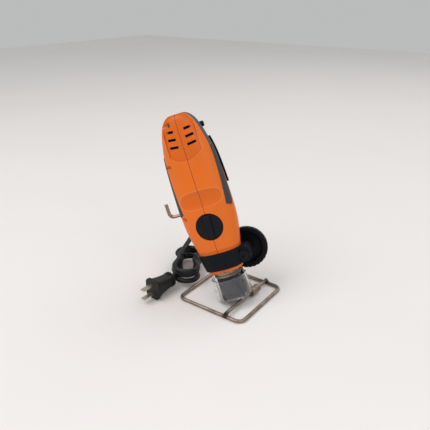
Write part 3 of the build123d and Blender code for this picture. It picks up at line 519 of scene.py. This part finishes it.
class JIGSAW_OT_finishes(bpy.types.Operator):
    """Makes the finishes and gives each carried-over part its own"""
    bl_idname = "jigsaw.finishes"
    bl_label = "Finishes"

    def execute(self, context):
        own = settings()
        for name, make in (
                ("Mould Grain", grain_group), ("Handling Wear", wear_group), ("Settled Dust", dust_group),
                ("Drawn Metal", draw_group), ("Parting Line", seam_group),
                ("Face Relief Painted Light", relief_group), ("Weld Scorch", spot_group)):
            GROUPS[name] = make()
        along = (TOOL_TURN @ Vector((0, 0, 1))).normalized()
        moulded("shell orange", own.shell_colour, 0.35, grain=1500.0, pits=0.3, wear=0.35, dust=0.06,
                seam_and_relief_paint=True, coat=0.06, gloss=0.34)
        moulded("cap grey", own.cap_colour, 0.5, grain=1300.0, pits=0.7, wear=0.5)
        moulded("inlay grey", [c * 0.75 for c in own.cap_colour], 0.62, grain=700.0, pits=1.3, wear=0.3,
                depth=0.00012)
        moulded("trim black", own.trim_colour, 0.38, grain=1600.0, pits=0.5, wear=0.4, dust=0.01,
                gloss=0.13)
        moulded("knob black", [c * 0.9 for c in own.trim_colour], 0.36, grain=1500.0, pits=0.5, wear=0.5,
                dust=0.01, gloss=0.15)
        moulded("dial black", [c * 1.1 for c in own.trim_colour], 0.36, grain=1500.0, pits=0.4, wear=0.4,
                dust=0.01, gloss=0.17)
        moulded("nose casting", own.nose_colour, 0.42, grain=800.0, pits=0.9, wear=0.7, depth=0.00012)
        clear_moulding()
        metal("turned steel", (0.6, 0.6, 0.6), 0.2, stretch=(200.0, 200.0, 1800.0), stain=0.15)
        metal("black steel", (0.09, 0.09, 0.095), 0.36, stain=0.2)
        metal("black oxide", (0.022, 0.024, 0.032), 0.4, stain=0.2, stain_colour=(0.03, 0.02, 0.02))
        metal("key steel", (0.26, 0.17, 0.125), 0.24, stretch=(70.0, 700.0, 900.0), stain=0.35,
              stain_colour=(0.22, 0.10, 0.06))
        metal("bracket steel", own.wire_colour, 0.34, stretch=(600.0, 60.0, 600.0), stain=0.4)
        metal("rod steel", own.wire_colour, 0.27, stretch=(260.0, 260.0, 900.0), stain=0.45, scorch=WELDS)
        metal("weld steel", (0.10, 0.075, 0.06), 0.5, stretch=(500.0, 500.0, 500.0), stain=0.6,
              blotch=400.0, depth=0.00008)
        metal("brass", (0.66, 0.58, 0.44), 0.25, stretch=(900.0, 60.0, 900.0), stain=0.3,
              stain_colour=(0.28, 0.2, 0.12))
        metal("commutator copper", (0.8, 0.42, 0.27), 0.25)
        metal("sintered bronze", (0.5, 0.34, 0.2), 0.45, blotch=300.0)
        banded("sheet stack", (0.34, 0.35, 0.37), (0.07, 0.07, 0.08), 0.35, 1.0, 9000.0, along, 0.0001)
        banded("copper winding", (0.62, 0.24, 0.10), (0.16, 0.05, 0.02), 0.28, 0.85, 7000.0, along, 0.0003)
        moulded("carbon", (0.02, 0.02, 0.02), 0.6, grain=1800.0, pits=0.9)
        moulded("potted board", (0.02, 0.075, 0.04), 0.4, grain=900.0)
        moulded("cord rubber", (0.005, 0.005, 0.006), 0.42, grain=1500.0, pits=0.3, wear=0.4,
                dust=0.03, gloss=0.35)
        moulded("plug rubber", (0.005, 0.005, 0.0055), 0.44, grain=1200.0, pits=0.5, wear=0.4,
                dust=0.03, gloss=0.35)
        for finish, names in FINISH.items():
            for name in names:
                wear_finish(NODES[name], finish)
        return {"FINISHED"}


def wear_finish(piece, finish):
    piece.data.materials.clear()
    piece.data.materials.append(MATERIALS[finish])


# ---------------------------------------------------------------- the lead

EXIT = tool_point(0, 50.5, 216.0)
EXIT_WAY = (TOOL_TURN @ Vector((0, 1, 0))).normalized()
LEAD_POINTS = [
    EXIT,
    EXIT + EXIT_WAY * 0.024,
    Vector((-156.0, 77.0, 177.0)) * MM,
    Vector((-161.0, 87.0, 147.0)) * MM,
    Vector((-161.5, 89.0, 104.0)) * MM,
    Vector((-162.0, 88.5, 70.0)) * MM,
    Vector((-162.5, 86.0, 46.0)) * MM,
    Vector((-161.0, 75.0, 33.0)) * MM,
    Vector((-155.5, 58.5, 28.5)) * MM,
]
HANK_CENTRE = Vector((-127.4, 13.0, 0.0)) * MM
HANK_TURN = math.radians(122.0)
HANK_RUN = 0.0215
HANK_SHIFT = -0.0038
HANK_RADIUS = 0.0168
HANK_WAIST = 0.62
WAIST_SPAN = 0.28
HANK_PITCH = 0.0073
HANK_LOW = 0.0042
LOOSE = [(3.0, -0.002, 0.0008), (-3.5, 0.002, -0.0008), (2.0, -0.001, 0.0006), (0.0, 0.0, 0.0),
         (2.0, 0.0, 0.0), (-2.0, 0.0, 0.0), (0.0, 0.0, 0.0)]
PLUG_REAR = Vector((-119.5, -37.5, 13.6)) * MM
PLUG_WAY = Vector((-0.06, -1.0, 0.0)).normalized()
SLEEVE = PLUG_REAR - PLUG_WAY * 0.009


def hank_place(u, v, z, turn=0.0, slide=0.0, side=0.0):
    """A point of the hank: u along it, v across it."""
    angle = HANK_TURN + math.radians(turn)
    way = Vector((math.cos(angle), math.sin(angle), 0))
    cross = Vector((-math.sin(angle), math.cos(angle), 0))
    spot = HANK_CENTRE + way * (u + slide + HANK_SHIFT) + cross * (v + side)
    return Vector((spot.x, spot.y, z))


def hank_points(turns):
    """The hank's turns from the top one down, and the run that leaves for the plug."""
    near = HANK_RADIUS * HANK_WAIST
    span = HANK_RUN * WAIST_SPAN
    loop = [(span, near), (-span, near)]
    loop += [(-HANK_RUN + HANK_RADIUS * math.cos(math.radians(a)), HANK_RADIUS * math.sin(math.radians(a)))
             for a in (90, 135, 180, 225, 270)]
    loop += [(-span, -near), (span, -near)]
    loop += [(HANK_RUN + HANK_RADIUS * math.cos(math.radians(a)), HANK_RADIUS * math.sin(math.radians(a)))
             for a in (-90, -45, 0, 45, 90)]
    points = []
    step = HANK_PITCH / len(loop)
    level = HANK_LOW + HANK_PITCH * turns
    for number in range(turns):
        turn, slide, side = LOOSE[number]
        for u, v in loop:
            points.append(hank_place(u, v, level, turn, slide, side))
            level -= step
    points.append(hank_place(span, near, HANK_LOW))
    points.append(hank_place(-span, near, HANK_LOW))
    return points


def nurbs(name, points):
    """A smooth open curve led by its control points."""
    curve = bpy.data.curves.new(name, "CURVE")
    curve.dimensions = "3D"
    curve.resolution_u = 6
    spline = curve.splines.new("NURBS")
    spline.points.add(len(points) - 1)
    for slot, place in zip(spline.points, points):
        slot.co = (*place, 1.0)
    spline.order_u = 3
    spline.use_endpoint_u = True
    made = bpy.data.objects.new(name, curve)
    bpy.context.scene.collection.objects.link(made)
    return made


def line_of(curve_object):
    """The points of a curve that has no bevel."""
    mesh = bpy.data.meshes.new_from_object(curve_object)
    points = [v.co.copy() for v in mesh.vertices]
    bpy.data.meshes.remove(mesh)
    return points


def only(piece):
    bpy.ops.object.select_all(action="DESELECT")
    piece.select_set(True)
    bpy.context.view_layer.objects.active = piece


class JIGSAW_OT_lead(bpy.types.Operator):
    """The mains lead: down behind the barrel, wound into its hank and out to the plug"""
    bl_idname = "jigsaw.lead"
    bl_label = "Lead"

    def execute(self, context):
        own = settings()
        points = LEAD_POINTS + hank_points(own.hank_turns)
        points += [SLEEVE - PLUG_WAY * 0.010 + Vector((0.0006, 0, -0.0035)),
                   SLEEVE - PLUG_WAY * 0.004, SLEEVE]
        lead = nurbs("mains_lead", points)
        path = line_of(lead)
        lead.data.bevel_depth = own.cord_diameter / 2
        lead.data.bevel_resolution = 5
        lead.data.use_fill_caps = True
        only(lead)
        bpy.ops.object.convert(target="MESH")
        lead = bpy.context.view_layer.objects.active
        lead.name = "mains_lead"
        bpy.ops.object.shade_smooth()
        wear_finish(lead, "cord rubber")
        length = sum((b - a).length for a, b in zip(path, path[1:]))
        print("lead length", round(length, 4))
        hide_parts("cord_lead", "cord_hank", "cord_tail")
        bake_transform(lead)
        return {"FINISHED"}


def finish_piece(piece, name, finish, body):
    """Names a modelled piece, bakes its place into its mesh and hangs it on its body."""
    piece.name = name
    only(piece)
    bpy.ops.object.transform_apply(location=True, rotation=True, scale=True)
    bpy.ops.object.mode_set(mode="EDIT")
    bpy.ops.mesh.select_all(action="SELECT")
    bpy.ops.mesh.remove_doubles(threshold=0.00001)
    bpy.ops.mesh.normals_make_consistent(inside=False)
    bpy.ops.object.mode_set(mode="OBJECT")
    bpy.ops.object.shade_smooth_by_angle(angle=math.radians(40))
    wear_finish(piece, finish)
    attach(piece, body)


def add_modifier(piece, kind, **values):
    made = piece.modifiers.new(kind.lower(), kind)
    for key, value in values.items():
        setattr(made, key, value)
    only(piece)
    bpy.ops.object.modifier_apply(modifier=made.name)


TIE_WIDTH = 0.0042
TIE_THICKNESS = 0.0005
TIE_SLACK = 0.0002
TIE_SIDE_SLACK = 0.0016
TIE_SQUARE = 3.2


class JIGSAW_OT_tie(bpy.types.Operator):
    """The twist tie round the hank's waist, with its two twisted tails"""
    bl_idname = "jigsaw.tie"
    bl_label = "Tie"

    def execute(self, context):
        own = settings()
        top = HANK_LOW + HANK_PITCH * own.hank_turns + own.cord_diameter / 2
        low = HANK_LOW - own.cord_diameter / 2
        half_up = (top - low) / 2 + TIE_SLACK
        half_side = HANK_RADIUS * HANK_WAIST + own.cord_diameter / 2 + TIE_SIDE_SLACK
        centre = hank_place(0, 0, (top + low) / 2)
        bpy.ops.object.select_all(action="DESELECT")
        bpy.ops.mesh.primitive_cylinder_add(
            vertices=40, radius=1.0, depth=TIE_WIDTH, end_fill_type="NOTHING", location=centre,
            rotation=(0, math.pi / 2, HANK_TURN))
        band = bpy.context.view_layer.objects.active
        for vertex in band.data.vertices:
            angle = math.atan2(vertex.co.y, vertex.co.x)
            reach = abs(math.cos(angle)) ** TIE_SQUARE + abs(math.sin(angle)) ** TIE_SQUARE
            fat = reach ** (-1 / TIE_SQUARE)
            vertex.co.x = math.cos(angle) * fat * half_up
            vertex.co.y = math.sin(angle) * fat * half_side
        add_modifier(band, "SOLIDIFY", thickness=TIE_THICKNESS, offset=1.0)
        add_modifier(band, "BEVEL", width=0.0002, segments=2)
        finish_piece(band, "twist_tie", "trim black", "hanger")
        draws = random.Random(11)
        for side in (-1, 1):
            root = hank_place(0.001 * side, 0.003 * side, top + 0.0009)
            points = [root + Vector((0.0016 * side * math.cos(1.7 * n), 0.0045 * side * n * 0.35,
                                     0.0014 * math.sin(2.1 * n) ** 2 + 0.0004 * n * draws.random()))
                      for n in range(7)]
            tail = nurbs("tie_tail", points)
            tail.data.bevel_depth = 0.0007
            tail.data.bevel_resolution = 2
            tail.data.use_fill_caps = True
            only(tail)
            bpy.ops.object.convert(target="MESH")
            tail = bpy.context.view_layer.objects.active
            finish_piece(tail, "tie_tail_near" if side < 0 else "tie_tail_far", "trim black", "hanger")
        return {"FINISHED"}


BEAD_SIZE = Vector((0.0017, 0.0024, 0.0013))
BEAD_STEP = 0.0016
BEAD_DROP = 0.0004


class JIGSAW_OT_welds(bpy.types.Operator):
    """Lumpy weld beads where the tilt bar crosses the side rods"""
    bl_idname = "jigsaw.welds"
    bl_label = "Welds"

    def execute(self, context):
        draws = random.Random(5)
        for number, place in enumerate(WELDS):
            lumps = []
            for side in (-1, 1):
                bpy.ops.object.select_all(action="DESELECT")
                bpy.ops.mesh.primitive_ico_sphere_add(
                    subdivisions=4, radius=1.0,
                    location=Vector(place) + Vector((BEAD_STEP * side, 0, -BEAD_DROP)))
                lump = bpy.context.view_layer.objects.active
                ripple = 1.0 + draws.random()
                for vertex in lump.data.vertices:
                    co = vertex.co.copy()
                    swell = 1.0 + 0.07 * math.sin(9 * co.y + ripple) + 0.05 * math.sin(13 * co.x + 7 * co.z)
                    vertex.co = co * BEAD_SIZE * swell
                lumps.append(lump)
            only(lumps[0])
            lumps[1].select_set(True)
            bpy.ops.object.join()
            finish_piece(lumps[0], ("weld_bead_near", "weld_bead_far")[number], "weld steel", "shoe")
        return {"FINISHED"}


LAMPS = (
    ("key", (-0.7, -1.0, 1.7), 1.3, 17.0),
    ("fill", (1.4, -0.7, 1.1), 1.4, 6.0),
    ("back", (0.2, 1.3, 1.8), 1.4, 10.0),
)
LAMP_AIM = Vector((-0.08, 0.02, 0.08))
CAMERA_PLACE = Vector((0.2594, -0.4591, 0.3592))
CAMERA_AIM = Vector((-0.2095, 0.1905, 0.0))
LENS = 41.86
SENSOR = 36.0


def turn_to(made, aim):
    made.rotation_euler = (aim - made.location).to_track_quat("-Z", "Y").to_euler()


class JIGSAW_OT_stage(bpy.types.Operator):
    """Pale table, soft lights and the camera"""
    bl_idname = "jigsaw.stage"
    bl_label = "Stage"

    def execute(self, context):
        scene = bpy.context.scene
        bpy.ops.object.select_all(action="DESELECT")
        bpy.ops.mesh.primitive_plane_add(size=6.0, location=(0, 0, -0.0002))
        floor = bpy.context.view_layer.objects.active
        floor.name = "table_top"
        tree, shader = start_material("table", Roughness=0.55)
        place = tree.nodes.new("ShaderNodeTexCoord").outputs["Object"]
        cloud = noise(tree, place, 3.0, 3.0)
        own = settings()
        base = mix_colour(tree, cloud, rgba(own.floor_colour, 0.97), rgba(own.floor_colour, 1.03))
        tree.links.new(base, shader.inputs["Base Color"])
        wear_finish(floor, "table")
        world = bpy.data.worlds.new("studio")
        scene.world = world
        scene.view_settings.view_transform = "Standard"
        world.use_nodes = True
        backdrop = world.node_tree.nodes["Background"]
        backdrop.inputs["Color"].default_value = (0.80, 0.81, 0.81, 1.0)
        backdrop.inputs["Strength"].default_value = 0.62
        for name, place, size, power in LAMPS:
            lamp = bpy.data.lights.new(name, "AREA")
            lamp.energy = power
            lamp.size = size
            made = bpy.data.objects.new(name, lamp)
            scene.collection.objects.link(made)
            made.location = place
            turn_to(made, LAMP_AIM)
        lens = bpy.data.cameras.new("camera")
        lens.sensor_width = SENSOR
        lens.lens = LENS
        camera = bpy.data.objects.new("camera", lens)
        scene.collection.objects.link(camera)
        camera.location = CAMERA_PLACE
        turn_to(camera, CAMERA_AIM)
        scene.camera = camera
        return {"FINISHED"}


class JIGSAW_PT_panel(bpy.types.Panel):
    """Jigsaw builder"""
    bl_idname = "JIGSAW_PT_panel"
    bl_label = "Jigsaw"
    bl_space_type = "VIEW_3D"
    bl_region_type = "UI"
    bl_category = "Jigsaw"

    def draw(self, context):
        own = context.scene.jigsaw
        for name in own.__annotations__:
            self.layout.prop(own, name)
        for step in STEPS:
            self.layout.operator(step.bl_idname)


STEPS = (JIGSAW_OT_finishes, JIGSAW_OT_lead, JIGSAW_OT_tie, JIGSAW_OT_welds, JIGSAW_OT_stage)
CLASSES = (JigsawSettings, JIGSAW_PT_panel) + STEPS


def register():
    for cls in CLASSES:
        bpy.utils.register_class(cls)
    bpy.types.Scene.jigsaw = bpy.props.PointerProperty(type=JigsawSettings)


def unregister():
    del bpy.types.Scene.jigsaw
    for cls in reversed(CLASSES):
        bpy.utils.unregister_class(cls)


def main():
    register()
    for step in STEPS:
        group, name = step.bl_idname.split(".")
        getattr(getattr(bpy.ops, group), name)()


if __name__ == "__main__":
    main()
